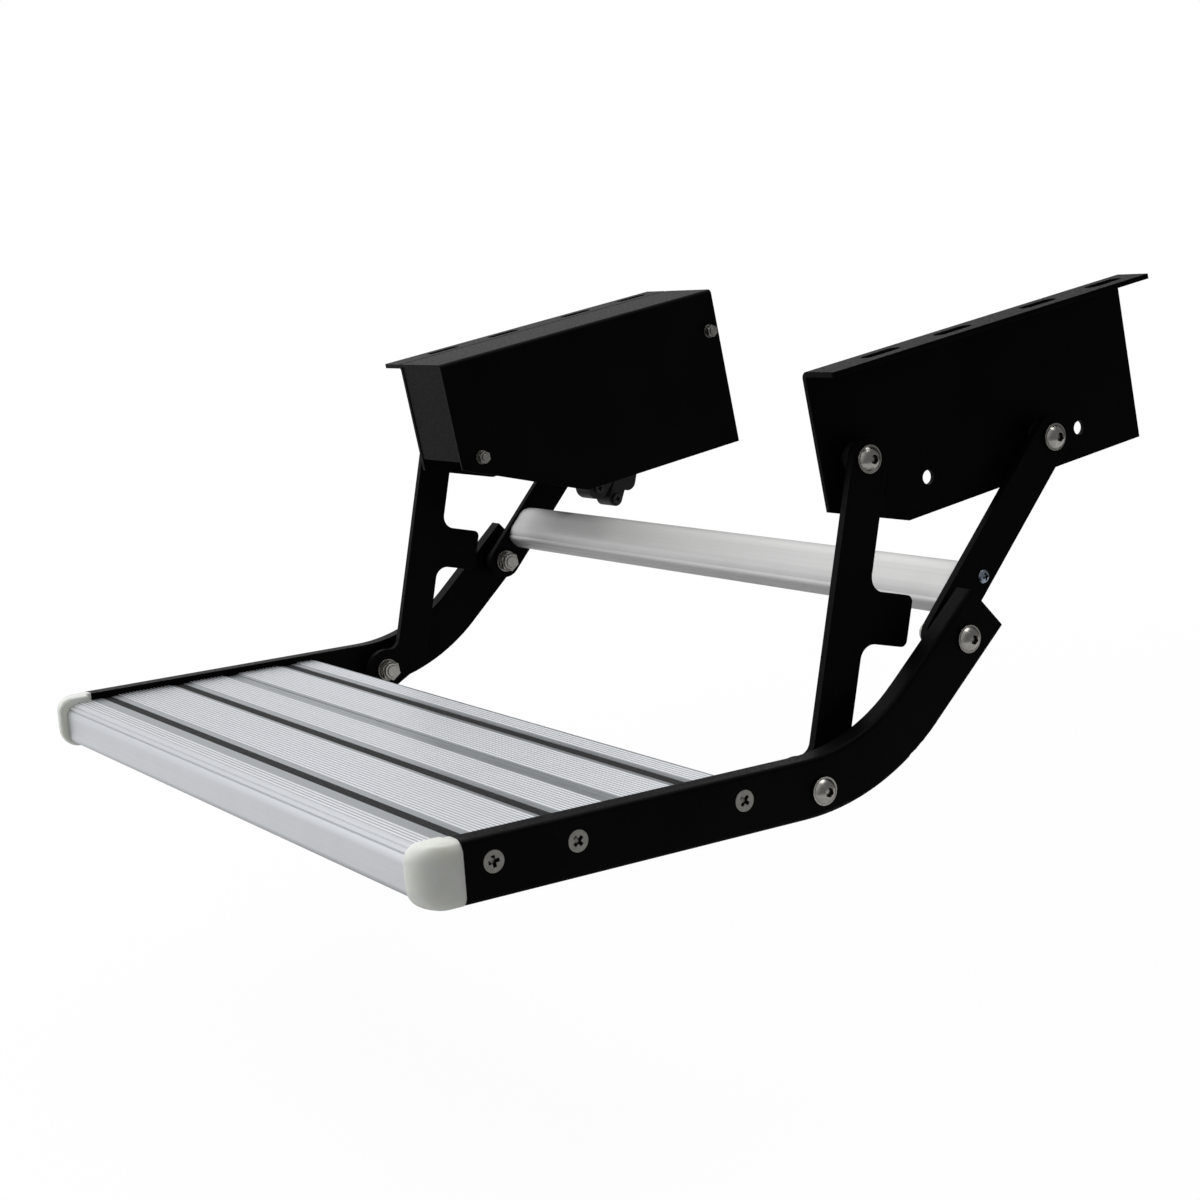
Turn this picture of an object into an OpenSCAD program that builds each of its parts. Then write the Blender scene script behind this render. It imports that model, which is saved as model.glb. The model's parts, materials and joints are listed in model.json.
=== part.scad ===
// Pull-out caravan entrance step with an electric drive, in its stepped-out pose.
// X runs across the doorway, -Y is the side people step on from, Z is up.
// The origin is the middle of the mounting slots, on the chassis plane (flange tops).

/* [Chassis brackets] */
// outer face to outer face of the two upright webs
bracket_span = 484; // [440:1:560]
// length of each bracket along the vehicle side
bracket_length = 240; // [236:1:270]
// height of each web at its front end
bracket_front_height = 80; // [76:1:88]
// height of each web behind the slanted corner
bracket_height = 100; // [96:1:108]
// length of the slanted bottom corner
bracket_chamfer = 54; // [40:1:70]
// steel sheet thickness of the brackets
sheet_t = 3; // [2.5:0.1:3.5]
// how far the flange reaches out from the web
flange_width = 25.5; // [24:0.5:31]
// front web edge to the middle of the slot pattern
slot_middle = 130; // [126:1:134]
// spacing of the outer pair of slots
slot_outer_spacing = 172; // [164:1:176]
// spacing of the inner pair of slots
slot_inner_spacing = 66; // [60:1:80]
// slot length, end to end
slot_length = 26; // [20:1:30]
// slot width
slot_width = 9; // [7:0.5:10]

/* [Linkage] */
// front web edge to the front pivot
front_pivot_y = 23.3; // [21:0.1:26]
// chassis plane down to the front pivot
front_pivot_drop = 54.9; // [52:0.1:58]
// front web edge to the rear pivot
rear_pivot_y = 160.1; // [158:0.1:163]
// chassis plane down to the rear pivot
rear_pivot_drop = 78.5; // [77:0.1:80]
// pivot to pivot length of the rear links
rear_link_length = 137.8; // [134:0.1:142]
// slope of the rear links below level
rear_link_angle = 40; // [37:0.1:42]
// width of the link bars
link_width = 25; // [23:0.5:27]
// thickness of the link bars
link_t = 5; // [4:0.5:6]
// gap between a web and its links
link_gap = 7; // [6.5:0.1:8.5]
// rear pivot to the middle of the crossbar
crossbar_reach = 107; // [106:0.5:110]
// long side of the crossbar section
crossbar_long = 32.5; // [30:0.5:34]
// short side of the crossbar section
crossbar_short = 22; // [21:0.5:24]
// start of the stop tab below the front pivot
tab_start = 72; // [68:1:76]
// depth of the stop tab along the front link
tab_depth = 29.5; // [24:0.5:34]

/* [Tread] */
// gap between the links and the side arms
arm_gap = 8.3; // [7.5:0.1:9.5]
// thickness of the side arms
arm_t = 12.7; // [11:0.1:14]
// height of the side arms
arm_height = 33; // [32:0.5:36]
// straight length of the side arms, in front of the bend
arm_straight = 210; // [208:1:230]
// outer bend radius of the side arms
arm_bend_r = 140.5; // [130:0.1:150]
// bend angle of the side arms
arm_bend = 42.5; // [40:0.5:46]
// length of the arm tail behind the bend
arm_tail = 70; // [64:0.5:74]
// rounding of the outer arm edges
arm_edge_r = 2.5; // [1.5:0.5:3.5]
// nose-up tilt of the tread in this pose
tread_pitch = 8.6; // [6:0.1:11]
// arm front end to the front eye bolt
front_eye_y = 222; // [219:0.5:226]
// arm top edge down to the front eye bolt
front_eye_drop = 18.6; // [17:0.1:20]
// top of the ribs below the arm top edge
deck_drop = 3.8; // [3:0.1:6]
// thickness of the deck planks
deck_t = 20; // [19:0.5:22]
// rib spacing on the deck
rib_pitch = 2.6; // [2.4:0.1:3]
// rib height
rib_h = 0.8; // [0.5:0.1:1]

/* [Drive] */
// radius of the motor can
motor_r = 24; // [20:0.5:24]
// length of the motor can
motor_length = 82; // [70:1:84]
// distance between the worm and the wheel shaft
gear_centres = 34; // [33:0.5:36]
// teeth on the worm wheel
wheel_teeth = 40; // [30:2:50]

/* [Hidden] */
$fn = 48;
// small seat gap between parts that only touch
seat = 0.2;
// free running gap between parts that turn against each other
run = 0.3;
front_y = -slot_middle;
web_x = bracket_span / 2;
web_in = web_x - sheet_t;
flange_x = web_x + flange_width;
bend_in = 1.5;
bend_out = bend_in + sheet_t;
slot_x = flange_x - 13;
link_x0 = web_x + link_gap;
link_x1 = link_x0 + link_t;
arm_x0 = link_x1 + arm_gap;
arm_x1 = arm_x0 + arm_t;
deck_x = arm_x0 - seat;
bolt_r = 4;
bolt_fit = 0.06;
washer_r = 8;
washer_t = 1.6;
eye_r = link_width / 2;

pa = [front_y + front_pivot_y, -front_pivot_drop];
pb = [front_y + rear_pivot_y, -rear_pivot_drop];
rear_dir = [-cos(rear_link_angle), -sin(rear_link_angle)];
rear_side = [sin(rear_link_angle), -cos(rear_link_angle)];
pd = pb + rear_link_length * rear_dir;
function turn(p, a) = [p[0] * cos(a) - p[1] * sin(a), p[0] * sin(a) + p[1] * cos(a)];
function on_rear(u, w) = pb + u * rear_dir + w * rear_side;

// side arm measured from its front end and its top edge
arm_dir = [cos(arm_bend), sin(arm_bend)];
arm_norm = [-sin(arm_bend), cos(arm_bend)];
tail_y = arm_straight + arm_bend_r * sin(arm_bend);
tail_z = arm_bend_r * (1 - cos(arm_bend)) - arm_height;
td = [tail_y, tail_z] + 48.15 * arm_dir + 15.83 * arm_norm;
tc = [front_eye_y, -front_eye_drop];
pc = pd + turn(tc - td, -tread_pitch);

// front link, u runs down the bar from the front pivot and w towards the rear
ac = pc - pa;
front_len = norm(ac);
eye_lean = 5.45;
front_angle = atan2(ac[1], ac[0]) + eye_lean;
front_dir = [cos(front_angle), sin(front_angle)];
front_side = [-sin(front_angle), cos(front_angle)];
cu = front_len * cos(eye_lean);
cw = -front_len * sin(eye_lean);
bar_front = -link_width / 2 + 1.8;
bar_rear = link_width / 2 + 1.2;
front_eye_r = 15;
bar_end = [cu - 14, bar_rear - eye_r];
toe_gap = norm([cu, cw] - bar_end);
toe_angle = atan2(cw - bar_end[1], cu - bar_end[0]);
toe_lean = asin((front_eye_r - eye_r) / toe_gap);
neck_r = 7.7;
neck_w = bar_front - neck_r;
neck_u = cu - sqrt(pow(front_eye_r + neck_r, 2) - pow(cw - neck_w, 2));

rib_top = -deck_drop;
deck_top = rib_top - rib_h;
deck_bottom = deck_top - deck_t;
groove_w = 6.8;
groove_d = 2.5;
joint_1 = 10.8;
joint_2 = 104;
tongue_top = 8.2;
deck_rear = 168.7;
nose_front = -20;
nose_bottom = -31;
groove_y = [joint_1, 64, 147.6];
screw_y = [16.8, 65.9, 169.7];
screw_z = -13.7;
screw_turn = [8, 42, 50];
nose_r = 8;
nose_wall = 2.4;
nose_c = [nose_front + nose_r, deck_top - nose_r];

// drive, all on the left side, x values are negative there
wheel_x = -(web_in - 28);
wheel_r = gear_centres - 6;
worm_z = pb[1] + gear_centres;
case_r = wheel_r + 12;
case_out = -(web_in - 0.2);
lid_x = -(web_in - 45.5);
motor_y0 = front_y + 36;
motor_y1 = motor_y0 + motor_length;
cover_x = -(web_x - 62);
cover_t = 1.8;
cover_front_h = 77;
cover_h = 119;
cover_vertex = 98;
cover_len = bracket_length;
cover_seam = 0.5;
cover_lip = 5.5;
stud_r = 2.5;
stud_end = 6;
stud_front = [17.4, -71.8];
stud_rear = [8.4, -30.3];
stud_p = [
  [front_y + stud_front[0], stud_front[1]],
  [front_y + bracket_length - stud_rear[0], stud_rear[1]]
];
cover_nut_flats = 8;
cover_nut_h = 4;

// extrudes a side-view outline (Y, Z) from x0 to x1
module along_x(x0, x1) {
  translate([x0, 0, 0]) rotate([90, 0, 90]) linear_extrude(x1 - x0) children();
}

// extrudes a section drawn as (height, X) along Y
module along_y(y0, y1) {
  translate([0, y0, 0]) rotate([-90, 0, 0]) rotate([0, 0, -90]) linear_extrude(y1 - y0) children();
}

// round bar along X at side-view point p
module pin(x0, x1, p, r) {
  translate([x0, p[0], p[1]]) rotate([0, 90, 0]) cylinder(h = x1 - x0, r = r);
}

module ring(x0, x1, p, ro, ri) {
  difference() {
    pin(x0, x1, p, ro);
    pin(x0 - 1, x1 + 1, p, ri);
  }
}

module box(x0, x1, y0, y1, z0, z1) {
  translate([x0, y0, z0]) cube([x1 - x0, y1 - y0, z1 - z0]);
}

module rect(a0, a1, b0, b1) {
  translate([a0, b0]) square([a1 - a0, b1 - b0]);
}

module both_sides() {
  children();
  mirror([1, 0, 0]) children();
}

module left_side() {
  mirror([1, 0, 0]) children();
}

module hexagon(flats) {
  r = flats / sqrt(3);
  polygon([for (i = [0:5]) [r * cos(60 * i), r * sin(60 * i)]]);
}

// low domed socket head, standing on x and pointing to +X
module button_head(x, p, r, h, flats) {
  dome = (r * r + h * h) / (2 * h);
  translate([x, p[0], p[1]]) rotate([0, 90, 0]) difference() {
    intersection() {
      translate([0, 0, h - dome]) sphere(r = dome);
      cylinder(h = h - 0.3, r = r);
    }
    translate([0, 0, h - 2.6]) linear_extrude(4) hexagon(flats);
  }
}

// pivot bolt with a washer below its head, head towards +X
module pivot_bolt(x_tip, x_face, p) {
  pin(x_tip, x_face + washer_t + 0.6, p, bolt_r);
  ring(x_face, x_face + washer_t, p, washer_r, bolt_r + 0.05);
  button_head(x_face + washer_t + 0.05, p, 7, 4.4, 5);
}

// domed locking nut with its washer, standing on x and pointing to -X
module lock_nut(x, p) {
  ring(x - washer_t, x, p, washer_r, bolt_r + 0.05);
  difference() {
    union() {
      translate([x - washer_t - 5.6, p[0], p[1]]) rotate([0, 90, 0]) linear_extrude(5.55) hexagon(13);
      pin(x - washer_t - 7.4, x - washer_t - 5.5, p, 5.7);
    }
    pin(x - 20, x, p, bolt_r + 0.04);
  }
}

// cross shaped driver recess cut into a face at x
module cross_recess(x, p, size, depth) {
  translate([x - depth, p[0], p[1]]) {
    translate([0, -size / 2, -size * 0.16]) cube([depth + 2, size, size * 0.32]);
    translate([0, -size * 0.16, -size / 2]) cube([depth + 2, size * 0.32, size]);
  }
}

// the same recess turned about its own axis
module turned_recess(x, p, size, depth, turn) {
  translate([0, p[0], p[1]]) rotate([turn, 0, 0]) cross_recess(x, [0, 0], size, depth);
}

// pose of the tread frame inside the part
module in_tread() {
  translate([0, pd[0], pd[1]]) rotate([-tread_pitch, 0, 0]) translate([0, -td[0], -td[1]]) children();
}

// bent sheet section of the right bracket, drawn as (height, X)
module bracket_section() {
  rect(-bracket_height - 1, -bend_out, web_in, web_x);
  rect(-sheet_t, 0, web_in + bend_out, flange_x);
  intersection() {
    difference() {
      translate([-bend_out, web_in + bend_out]) circle(r = bend_out);
      translate([-bend_out, web_in + bend_out]) circle(r = bend_in);
    }
    rect(-bend_out, 1, web_in - 1, web_in + bend_out);
  }
}

// flange slot with round ends at distance y from the slot middle
module flange_slot(y) {
  translate([slot_x, y, -sheet_t - 1]) linear_extrude(sheet_t + 2) {
    square([slot_width, slot_length - slot_width], center = true);
    translate([0, (slot_length - slot_width) / 2]) circle(d = slot_width);
    translate([0, -(slot_length - slot_width) / 2]) circle(d = slot_width);
  }
}

module bracket(rear_hole) {
  rear_y = front_y + bracket_length;
  difference() {
    along_y(front_y, rear_y) bracket_section();
    for (s = [-1, 1]) {
      flange_slot(s * slot_outer_spacing / 2);
      flange_slot(s * slot_inner_spacing / 2);
    }
    along_x(web_in - 5, web_x + 5) polygon([
      [front_y - 5, -bracket_front_height],
      [front_y, -bracket_front_height],
      [front_y + bracket_chamfer, -bracket_height],
      [rear_y + 5, -bracket_height],
      [rear_y + 5, -bracket_height - 5],
      [front_y - 5, -bracket_height - 5]
    ]);
    pin(web_in - 5, web_x + 5, pa, bolt_r + 0.05);
    pin(web_in - 5, web_x + 5, pb, rear_hole);
    pin(web_in - 5, web_x + 5, [front_y + 72.9, -79.6], 4.2);
    pin(web_in - 5, web_x + 5, [front_y + 192.3, -82], 4.2);
    // rounded front corner of the flange
    translate([flange_x - 2.5, front_y + 2.5, -sheet_t - 1]) difference() {
      translate([0, -4, 0]) cube([4, 4, sheet_t + 2]);
      translate([0, 0, -1]) cylinder(h = sheet_t + 4, r = 2.5);
    }
  }
}

module bracket_right() {
  color([0.06, 0.06, 0.07]) bracket(bolt_r + 0.05);
}

module bracket_left() {
  color([0.06, 0.06, 0.07]) left_side() difference() {
    bracket(10.05);
    for (q = mount_points) pin(web_in - 5, web_x + 5, q, 3.05);
  }
}

// side view of the cover, d is how far it is drawn inside the outer face
module cover_outline(d) {
  polygon([
    [front_y + d, -d],
    [front_y + d, -cover_front_h],
    [front_y + cover_vertex, -cover_h],
    [front_y + cover_len - d, -cover_h],
    [front_y + cover_len - d, -d]
  ]);
}

module drive_cover() {
  color([0.07, 0.07, 0.08]) difference() {
    union() {
      intersection() {
        along_x(-web_x - 5, cover_x) cover_outline(0);
        along_y(front_y, front_y + cover_len) difference() {
          union() {
            rect(-cover_t, 0, -web_in - 0.5, cover_x - 3);
            rect(-cover_h - 1, -3, cover_x - cover_t, cover_x);
            intersection() {
              translate([-3, cover_x - 3]) circle(r = 3);
              rect(-3, 1, cover_x - 3, cover_x + 1);
            }
          }
          translate([-3, cover_x - 3]) circle(r = 3 - cover_t);
        }
      }
      // end panels, set back a seam's width, the front one ends a little higher than the side
      intersection() {
        along_x(-web_in + seat, cover_x - cover_t + cover_seam) cover_outline(cover_seam);
        union() {
          box(-web_in + seat, cover_x, front_y, front_y + cover_seam + cover_t,
            cover_lip - cover_front_h, 0);
          box(-web_in + seat, cover_x, front_y + cover_len - cover_seam - cover_t,
            front_y + cover_len, -cover_h, 0);
        }
      }
    }
    for (q = stud_p) pin(cover_x - 5, cover_x + 5, q, stud_r + 0.05);
  }
}

module cover_studs() {
  color([0.75, 0.75, 0.76]) for (q = stud_p) {
    pin(-web_in + 0.05, cover_x + stud_end, q, stud_r);
    ring(cover_x - cover_t - 5, cover_x - cover_t - 0.05, q, 2 * stud_r, stud_r - 0.1);
  }
}

module cover_nuts() {
  color([0.78, 0.78, 0.78]) for (q = stud_p) {
    ring(cover_x + 0.05, cover_x + 1.05, q, 2 * stud_r, stud_r + 0.05);
    difference() {
      translate([cover_x + 1.1, q[0], q[1]]) rotate([0, 90, 0])
        linear_extrude(cover_nut_h) hexagon(cover_nut_flats);
      pin(cover_x, cover_x + 2 * cover_nut_h, q, stud_r + 0.04);
    }
  }
}

// worm gear housing around the left rear pivot
mount_points = [for (a = [100, 190, 325]) pb + (case_r - 4.5) * [cos(a), sin(a)]];

module case_outline(r) {
  translate(pb) circle(r = r);
}

// three lobes that reach down out of the cover, the first two carry a lid screw
lug_angle = [223, 239, 246];
lug_reach = [case_r + 24, case_r + 25, case_r + 10];
lug_r = [8.5, 5.6, 7];
lug_t = 15;

function around_case(a, reach) = pb + reach * [cos(a), sin(a)];

module lug_outline() {
  for (i = [0:2]) {
    translate(around_case(lug_angle[i], lug_reach[i])) circle(r = lug_r[i]);
    translate(pb) rotate(lug_angle[i]) translate([case_r - 12, -lug_r[i]])
      square([lug_reach[i] - case_r + 12, 2 * lug_r[i]]);
  }
}

lid_screws = concat(
  [for (a = [40, 160, 290, 340]) around_case(a, case_r - 4.5)],
  [for (i = [0, 1]) around_case(lug_angle[i], lug_reach[i])]
);

worm_tube = 84;
worm_tube_r = 13;
worm_room_start = 12;
worm_room = 66;
shaft_bore_r = 8.3;
mount_hole_depth = 14;
lid_hole_depth = 14;
lid_screw_length = 12;

module gear_case() {
  color([0.16, 0.16, 0.17]) difference() {
    union() {
      along_x(case_out, lid_x) case_outline(case_r);
      along_x(lid_x - lug_t, lid_x) lug_outline();
      worm_bar(motor_y1 + 0.2, motor_y1 + 0.2 + worm_tube, worm_tube_r);
      translate([wheel_x, motor_y1 + 0.2, worm_z]) rotate([-90, 0, 0]) cylinder(h = 5, r = motor_r);
    }
    // the worm tube may not reach past the outer face or the lid
    box(case_out - 30, case_out, front_y, front_y + 300, -150, 0);
    pin(case_out + 6, lid_x + 1, pb, wheel_r + 2);
    pin(case_out - 1, lid_x, pb, shaft_bore_r);
    worm_bar(motor_y1 + worm_room_start, motor_y1 + worm_room_start + worm_room, 7);
    translate([wheel_x, motor_y1 - 1, worm_z]) rotate([-90, 0, 0]) cylinder(h = worm_tube, r = 4.3);
    for (q = mount_points) pin(case_out - 1, case_out + mount_hole_depth, q, 3.05);
    for (q = lid_screws) pin(lid_x - lid_hole_depth, lid_x + 1, q, 2.05);
  }
}

module gear_lid() {
  color([0.2, 0.2, 0.21]) difference() {
    along_x(lid_x + 0.05, lid_x + 3.5) {
      case_outline(case_r);
      lug_outline();
    }
    pin(lid_x - 1, lid_x + 5, pb, shaft_bore_r);
    for (q = lid_screws) pin(lid_x - 1, lid_x + 5, q, 2.2);
  }
}

module gear_lid_screws() {
  color([0.3, 0.3, 0.32]) for (q = lid_screws) {
    pin(lid_x - lid_screw_length, lid_x + 4, q, 2);
    difference() {
      pin(lid_x + 3.55, lid_x + 6, q, 3.6);
      cross_recess(lid_x + 6, q, 4, 1.4);
    }
  }
}

module gear_mount_bolts() {
  color([0.72, 0.72, 0.73]) for (q = mount_points) {
    pin(-web_x - 0.5, case_out + 12, q, 3);
    left_side() button_head(web_x + 0.05, q, 5.2, 3.3, 4);
  }
}

module shaft_bearing() {
  color([0.62, 0.5, 0.26]) difference() {
    union() {
      pin(-web_x - 2, -web_in, pb, 10);
      pin(-web_x - 2, -web_x - 0.05, pb, 13);
    }
    pin(-web_x - 5, -web_in + 5, pb, 8.06);
  }
}

// thin round bar along Y on the worm axis
module worm_bar(y0, y1, r) {
  translate([wheel_x, y0, worm_z]) rotate([-90, 0, 0]) cylinder(h = y1 - y0, r = r);
}

module motor_can() {
  color([0.1, 0.1, 0.11]) difference() {
    worm_bar(motor_y0, motor_y1, motor_r);
    worm_bar(motor_y0 - 1, motor_y1 - 2, motor_r - 1.8);
    worm_bar(motor_y1 - 3, motor_y1 + 1, 5);
  }
}

module motor_magnets() {
  color([0.2, 0.19, 0.18]) difference() {
    worm_bar(motor_y0 + 14, motor_y1 - 10, motor_r - 1.85);
    worm_bar(motor_y0 + 13, motor_y1 - 9, motor_r - 6.5);
    box(wheel_x - 30, wheel_x + 30, motor_y0, motor_y1, worm_z - 5, worm_z + 5);
  }
}

module motor_end_cap() {
  color([0.12, 0.12, 0.13]) difference() {
    union() {
      worm_bar(motor_y0 - 4, motor_y0 - 0.05, motor_r);
      worm_bar(motor_y0 - 1, motor_y0 + 5, motor_r - 1.9);
    }
    worm_bar(motor_y0 - 1.5, motor_y0 + 6, 4.3);
    worm_bar(motor_y0 + 1.5, motor_y0 + 6, motor_r - 5);
  }
}

module terminal_block() {
  color([0.85, 0.85, 0.82])
    box(wheel_x - 7, wheel_x + 7, motor_y0 - 9, motor_y0 - 4.05, worm_z + 8, worm_z + 16);
}

module terminal_blades() {
  color([0.8, 0.7, 0.35]) for (s = [-1, 1]) {
    box(wheel_x + s * 3.6 - 2, wheel_x + s * 3.6 + 2, motor_y0 - 16, motor_y0 - 9.05,
      worm_z + 11.6, worm_z + 12.4);
  }
}

module motor_rotor() {
  color([0.5, 0.32, 0.16]) difference() {
    union() {
      worm_bar(motor_y0 + 18, motor_y1 - 14, motor_r - 8);
      worm_bar(motor_y0 + 8, motor_y0 + 16, 8);
      worm_bar(motor_y0 + 16, motor_y0 + 18, 6);
    }
    worm_bar(motor_y0, motor_y1, 4.03);
    for (a = [0:60:300]) {
      translate([wheel_x, motor_y0 + 17, worm_z]) rotate([0, a, 0])
        translate([motor_r - 12, 0, -1]) cube([10, motor_length, 2]);
    }
  }
}

module worm_shaft() {
  color([0.7, 0.7, 0.7]) {
    worm_bar(motor_y0 - 1, pb[0] - 25, 4);
    worm_bar(pb[0] - 25, pb[0] + 25, 4.6);
    worm_bar(pb[0] + 25, motor_y1 + 80, 4);
    for (i = [-5:5]) worm_bar(pb[0] + i * 4.2 - 1, pb[0] + i * 4.2 + 1, 5.7);
  }
}

module drive_shaft() {
  color([0.66, 0.66, 0.67]) difference() {
    union() {
      pin(-link_x0, lid_x + 3, pb, 8);
      pin(-link_x0, -web_x - 2 - run, pb, 12);
      translate([-link_x1 + 0.3, pb[0] - 5.5, pb[1] - 5.5]) cube([link_t, 11, 11]);
    }
    pin(-link_x1 - 1, -web_in, pb, bolt_r + 0.05);
  }
}

// plain toothed wheel, the teeth stop just short of the worm
module worm_wheel() {
  color([0.86, 0.84, 0.74]) along_x(wheel_x - 7, wheel_x + 7) difference() {
    union() {
      translate(pb) circle(r = wheel_r - 2.6);
      for (i = [0:wheel_teeth - 1]) {
        translate(pb) rotate(i * 360 / wheel_teeth + 180 / wheel_teeth) polygon([
          [wheel_r - 4, -wheel_r * 1.9 / wheel_teeth],
          [wheel_r, -wheel_r * 1.1 / wheel_teeth],
          [wheel_r, wheel_r * 1.1 / wheel_teeth],
          [wheel_r - 4, wheel_r * 1.9 / wheel_teeth]
        ]);
      }
    }
    translate(pb) circle(r = 8.03);
  }
}

module drive_shaft_bolt() {
  color([0.78, 0.78, 0.79]) left_side() {
    pin(web_x, link_x1 + 2, pb, bolt_r);
    ring(link_x1 + 0.05, link_x1 + washer_t, pb, 9.5, bolt_r + 0.05);
    button_head(link_x1 + washer_t + 0.05, pb, 7, 4.4, 5);
  }
}

module front_pivot_bolts() {
  color([0.78, 0.78, 0.79]) both_sides() pivot_bolt(web_in - 9.8, link_x1 + seat, pa);
}

module front_pivot_nuts() {
  color([0.74, 0.74, 0.75]) both_sides() lock_nut(web_in - 0.05, pa);
}

module front_pivot_spacers() {
  color([0.2, 0.2, 0.2]) both_sides() ring(web_x + 0.05, link_x0 - seat, pa, 9, bolt_r + 0.05);
}

module rear_pivot_bolt() {
  color([0.78, 0.78, 0.79]) pivot_bolt(web_in - 9.8, link_x1 + seat, pb);
}

module rear_pivot_nut() {
  color([0.74, 0.74, 0.75]) lock_nut(web_in - 0.05, pb);
}

module rear_pivot_spacer() {
  color([0.2, 0.2, 0.2]) ring(web_x + 0.05, link_x0 - seat, pb, 9, bolt_r + 0.05);
}

// screws that hold the crossbar, as places along and across the rear link
bar_screw_at = [[-12.3, 5], [12.3, -5]];
function bar_point(i) = on_rear(crossbar_reach + bar_screw_at[i][0], bar_screw_at[i][1]);

module rear_link_outline() {
  translate(pb) circle(r = eye_r);
  translate(pd) circle(r = eye_r);
  translate(pb) rotate(180 + rear_link_angle) translate([0, -eye_r])
    square([rear_link_length, link_width]);
}

module rear_link(right) {
  difference() {
    along_x(link_x0, link_x1) rear_link_outline();
    pin(link_x0 - 5, link_x1 + 5, pd, bolt_r + bolt_fit);
    for (i = [0, 1]) pin(link_x0 - 5, link_x1 + 5, bar_point(i), 2.3);
    if (right) pin(link_x0 - 5, link_x1 + 5, pb, bolt_r + bolt_fit);
    if (!right) box(link_x0 - 5, link_x1 + 5, pb[0] - 5.6, pb[0] + 5.6, pb[1] - 5.6, pb[1] + 5.6);
  }
}

module rear_link_right() {
  color([0.05, 0.05, 0.06]) rear_link(true);
}

module rear_link_left() {
  color([0.05, 0.05, 0.06]) left_side() rear_link(false);
}

module obround(long, short) {
  square([long - short, short], center = true);
  for (s = [-1, 1]) translate([s * (long - short) / 2, 0]) circle(r = short / 2);
}

module crossbar() {
  m = on_rear(crossbar_reach, 0);
  color([0.78, 0.79, 0.8]) along_x(-link_x0 + 0.05, link_x0 - 0.05) difference() {
    union() {
      translate(m) rotate(rear_link_angle) difference() {
        obround(crossbar_long, crossbar_short);
        obround(crossbar_long - 4, crossbar_short - 4);
      }
      for (i = [0, 1]) translate(bar_point(i)) circle(r = 3.3);
    }
    for (i = [0, 1]) translate(bar_point(i)) circle(r = 2.03);
  }
}

module crossbar_screws() {
  color([0.7, 0.72, 0.74]) both_sides() for (i = [0, 1]) {
    q = bar_point(i);
    pin(link_x0 - 14, link_x1 + 0.5, q, 2);
    difference() {
      button_base(link_x1 + 0.05, q);
      cross_recess(link_x1 + 2.4, q, 4.4, 1.4);
    }
  }
}

// pan head standing on x
module button_base(x, p) {
  translate([x, p[0], p[1]]) rotate([0, 90, 0]) intersection() {
    translate([0, 0, -2.6]) sphere(r = 5);
    cylinder(h = 2.3, r = 4);
  }
}

// points along a circular arc
function arc(c, r, a0, a1, n) = [
  for (i = [0:n]) c + r * [cos(a0 + (a1 - a0) * i / n), sin(a0 + (a1 - a0) * i / n)]
];

// front link in its own plane: first number down the bar, second towards the rear
module front_link_outline() {
  tab_end = tab_start + tab_depth;
  tab_w = bar_rear + 31.6;
  root = 9;
  mid = (bar_front + bar_rear) / 2;
  half = (bar_rear - bar_front) / 2;
  neck_angle = atan2(cw - neck_w, cu - neck_u);
  toe_tangent = toe_angle + 90 - toe_lean;
  polygon(concat(
    arc([0, mid], half, 90, 270, 24),
    arc([neck_u, neck_w], neck_r, 90, neck_angle, 10),
    arc([cu, cw], front_eye_r, neck_angle + 180, toe_tangent + 360, 28),
    arc(bar_end, eye_r, toe_tangent, 90, 8),
    arc([tab_end + root, bar_rear + root], root, 270, 180, 10),
    arc([tab_end - 4, tab_w - 4], 4, 0, 90, 8),
    arc([tab_start + 4, tab_w - 4], 4, 90, 180, 8),
    arc([tab_start - root, bar_rear + root], root, 0, -90, 10)
  ));
}

module front_link() {
  difference() {
    along_x(link_x0, link_x1) translate(pa) rotate(front_angle) front_link_outline();
    pin(link_x0 - 5, link_x1 + 5, pa, bolt_r + bolt_fit);
    pin(link_x0 - 5, link_x1 + 5, pc, bolt_r + bolt_fit);
  }
}

module front_link_right() {
  color([0.05, 0.05, 0.06]) front_link();
}

module front_link_left() {
  color([0.05, 0.05, 0.06]) left_side() front_link();
}

// this nut and its bolt end stay on the front link, the open pivot of the linkage
module front_eye_nuts() {
  color([0.74, 0.74, 0.75]) both_sides() {
    lock_nut(link_x0 - 0.05, pc);
    pin(link_x0 - 9.8, arm_x0 - run - 0.1, pc, bolt_r);
  }
}

module front_eye_spacers() {
  color([0.2, 0.2, 0.2]) both_sides() ring(link_x1 + 0.05, arm_x0 - run, pc, 9, bolt_r + 0.05);
}

module front_eye_bolts() {
  color([0.78, 0.78, 0.79]) both_sides() pivot_bolt(arm_x0 + 0.2, arm_x1 + 0.05, pc);
}

module rear_eye_bolts() {
  color([0.78, 0.78, 0.79]) both_sides() pivot_bolt(link_x0 - seat - 9.8, arm_x1 + 0.05, pd);
}

module rear_eye_nuts() {
  color([0.74, 0.74, 0.75]) both_sides() lock_nut(link_x0 - seat, pd);
}

module rear_eye_spacers() {
  color([0.2, 0.2, 0.2]) both_sides() ring(link_x1 + seat, arm_x0 - 0.05, pd, 9, bolt_r + 0.05);
}

// section of the side arm, drawn as (height above the lower edge, X), d makes it slimmer all round
module arm_section(d) {
  high = arm_height - d;
  translate([0, arm_x0]) {
    rect(d, high, d, arm_t - arm_edge_r);
    rect(arm_edge_r, arm_height - arm_edge_r, d, arm_t - d);
    translate([arm_edge_r, arm_t - arm_edge_r]) circle(r = arm_edge_r - d);
    translate([arm_height - arm_edge_r, arm_t - arm_edge_r]) circle(r = arm_edge_r - d);
  }
}

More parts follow.
